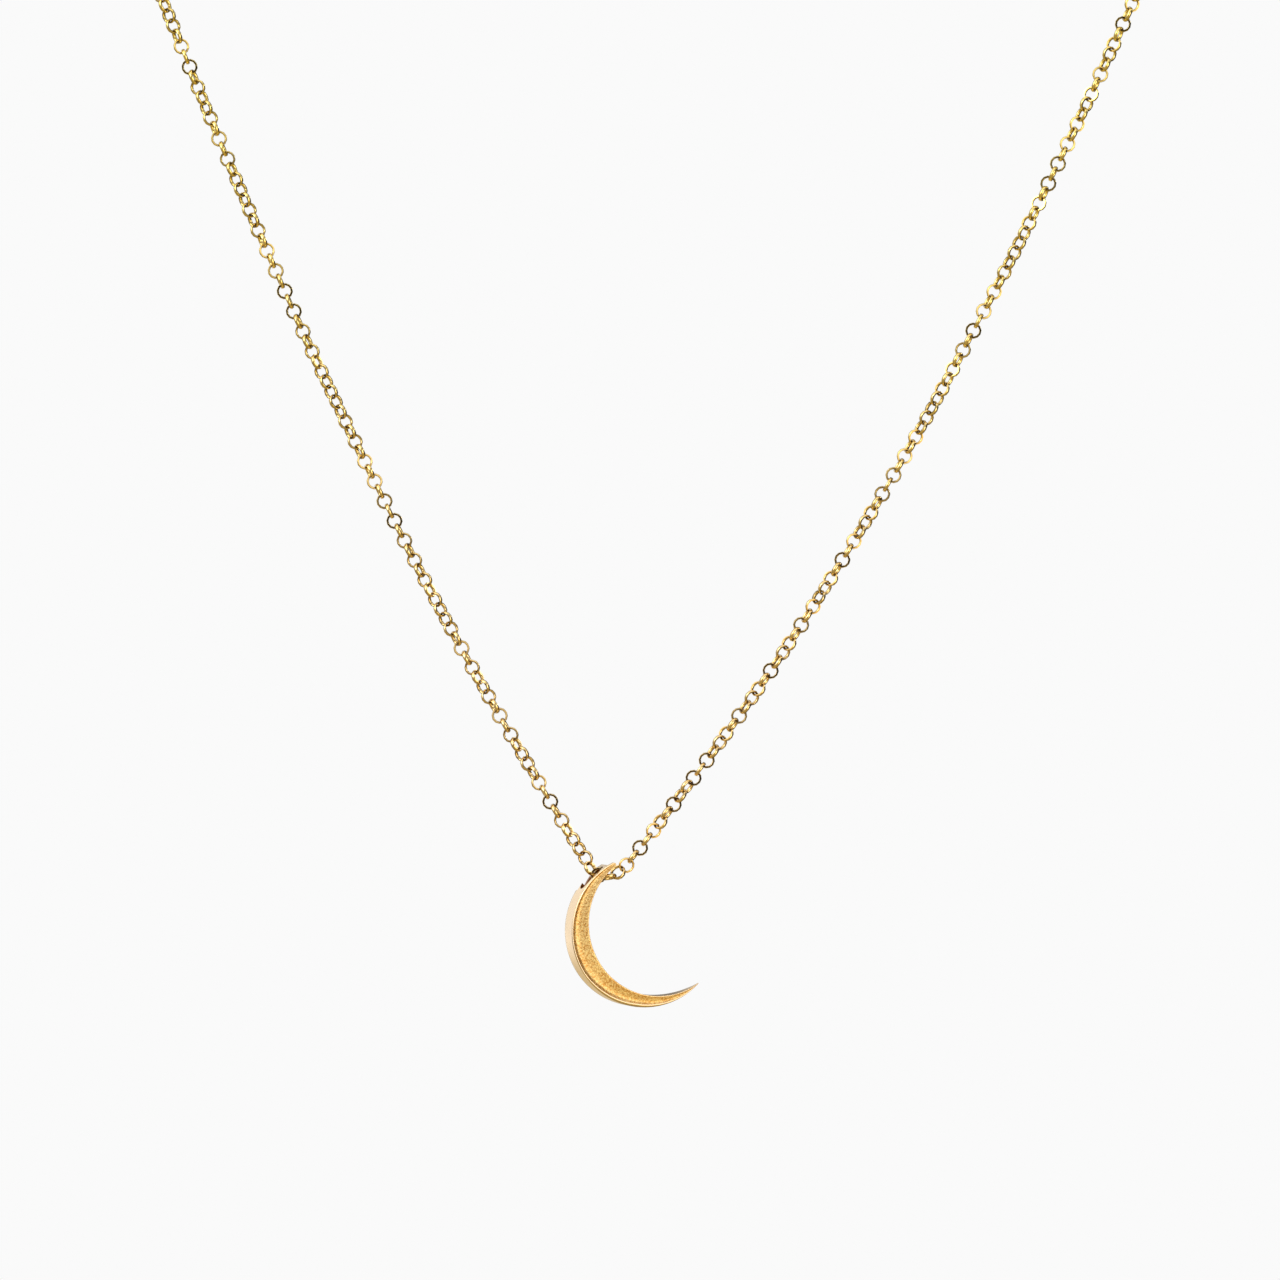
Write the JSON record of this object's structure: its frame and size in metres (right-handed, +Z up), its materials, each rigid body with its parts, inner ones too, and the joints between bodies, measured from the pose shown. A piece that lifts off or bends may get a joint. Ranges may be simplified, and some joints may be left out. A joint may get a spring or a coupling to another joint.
{
  "type": "pendant necklace",
  "caption": "Crescent moon pendant threaded on a fine round-link belcher chain with a spring ring clasp, stored as it hangs on a round neck form.",
  "frame": {"origin": "centre of the round neck form that the chain hangs over; the form itself isn't part of the necklace", "axes": "+Z up, the loop lies in the XZ plane, -Y is the face that shows when it is worn"},
  "size_m": [0.1034, 0.0064, 0.1712],
  "materials": {
    "chain_gold": "polished",
    "pendant_gold": "satin face, polished walls",
    "clasp_gold": "polished",
    "spring_steel": "drawn wire"
  },
  "bodies": {
    "neck_chain": {"left_neck_chain": "chain_gold", "right_neck_chain": "chain_gold", "left_shoulder_link": "chain_gold", "right_shoulder_link": "chain_gold", "left_end_link": "chain_gold", "right_end_link": "chain_gold", "clasp_jump_ring": "clasp_gold", "end_ring": "clasp_gold"},
    "front_chain": {"left_front_chain": "chain_gold", "right_front_chain": "chain_gold", "left_hang_link": "chain_gold", "right_hang_link": "chain_gold", "left_link_8": "chain_gold", "left_link_7": "chain_gold", "left_link_6": "chain_gold", "left_link_5": "chain_gold", "left_link_4": "chain_gold", "left_link_3": "chain_gold", "left_link_2": "chain_gold", "left_link_1": "chain_gold", "right_link_2": "chain_gold", "right_link_3": "chain_gold", "right_link_4": "chain_gold", "right_link_5": "chain_gold", "right_link_6": "chain_gold", "right_link_7": "chain_gold", "right_link_8": "chain_gold"},
    "turning_link": {"right_link_1": "chain_gold"},
    "tunnel_link": {"tunnel_link": "chain_gold"},
    "pendant": {"crescent_pendant": "pendant_gold"},
    "clasp": {"clasp_shell": "clasp_gold", "clasp_eye": "clasp_gold", "clasp_spring": "spring_steel"},
    "bolt": {"clasp_bolt": "clasp_gold", "clasp_thumb_lug": "clasp_gold"}
  },
  "joints": [
    {"name": "front_chain_swing", "type": "hinge", "parent": "neck_chain", "child": "front_chain", "pos_m": [0, 0, -0.021], "axis": [1, 0, 0], "range_deg": [-35, 35]},
    {"name": "pendant_turn", "type": "hinge", "parent": "front_chain", "child": "turning_link", "pos_m": [-0.00477, 0, -0.10583], "axis": [0, 0, 1], "range_deg": [-5, 5]},
    {"name": "pendant_nod", "type": "hinge", "parent": "turning_link", "child": "tunnel_link", "pos_m": [-0.00477, 0, -0.10583], "axis": [1, 0, 0], "range_deg": [-24, 14]},
    {"name": "pendant_sway", "type": "hinge", "parent": "tunnel_link", "child": "pendant", "pos_m": [-0.00433, 0, -0.10533], "axis": [0, 1, 0], "range_deg": [-5, 5]},
    {"name": "clasp_roll", "type": "hinge", "parent": "neck_chain", "child": "clasp", "pos_m": [0, 0, 0.0517], "axis": [1, 0, 0], "range_deg": [-25, 0]},
    {"name": "bolt_slide", "type": "hinge", "parent": "clasp", "child": "bolt", "pos_m": [0, 0, 0.0517], "axis": [0, 0, 1], "range_deg": [0, 54], "stiffness_Nm_per_rad": 0.0002, "springref_deg": -17.19, "deforming": ["clasp_spring"]}
  ]
}
